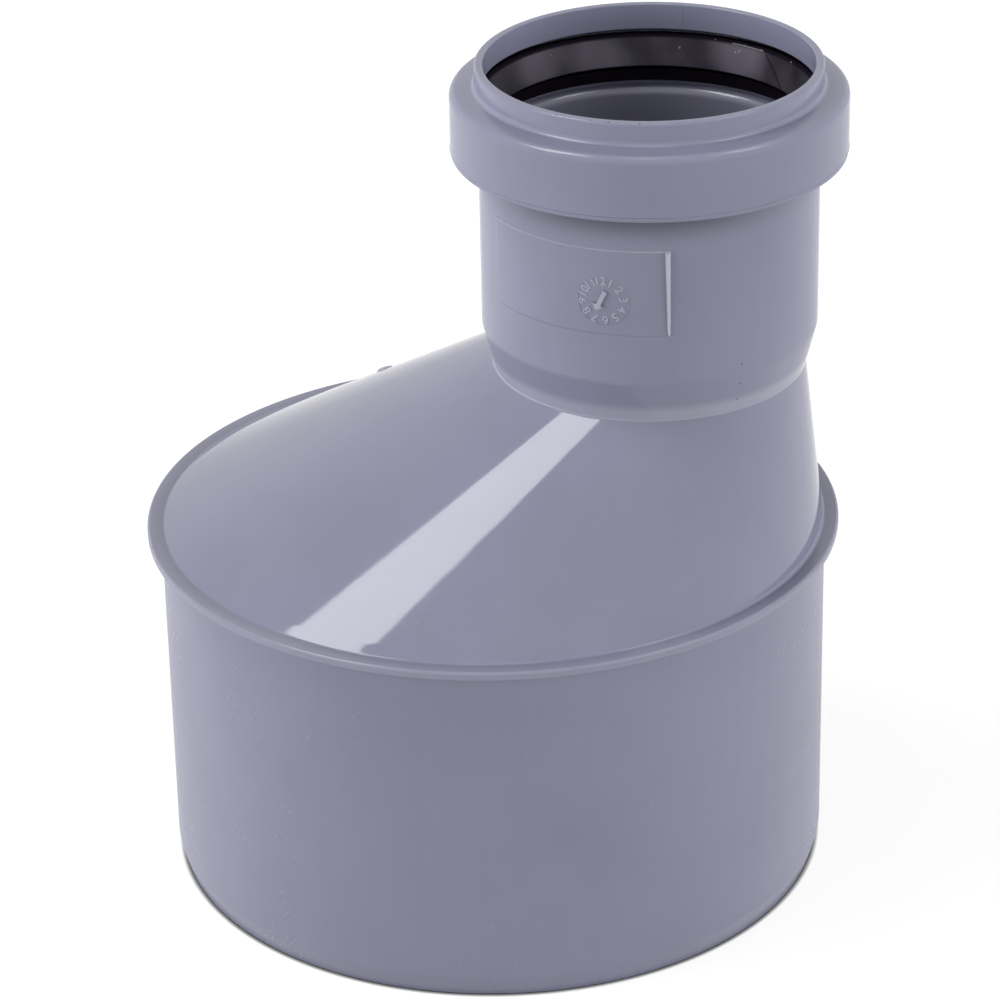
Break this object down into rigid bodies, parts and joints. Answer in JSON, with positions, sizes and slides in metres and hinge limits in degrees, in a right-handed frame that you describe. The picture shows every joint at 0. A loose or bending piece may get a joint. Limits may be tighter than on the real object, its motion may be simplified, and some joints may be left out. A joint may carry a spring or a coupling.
{
  "type": "eccentric pipe reducer",
  "caption": "Eccentric waste-pipe reducer: a plain 110 mm spigot and an offset 50 mm ring-seal socket, joined by a slanted cone.",
  "frame": {"origin": "centre of the spigot's open end, which is the face the part stands on; the bottom centre of the bounding box lies 0.3 mm from it towards +X, because the bead reaches that much further out than the collar", "axes": "+Z from the spigot to the socket, along both of their axes; +X to the side the socket is offset to"},
  "size_m": [0.115, 0.1144, 0.1403],
  "materials": {
    "grey_plastic": "satin",
    "black_rubber": "satin"
  },
  "bodies": {
    "root": {"reducer_body": "grey_plastic", "lip_seal": "black_rubber"}
  },
  "joints": []
}
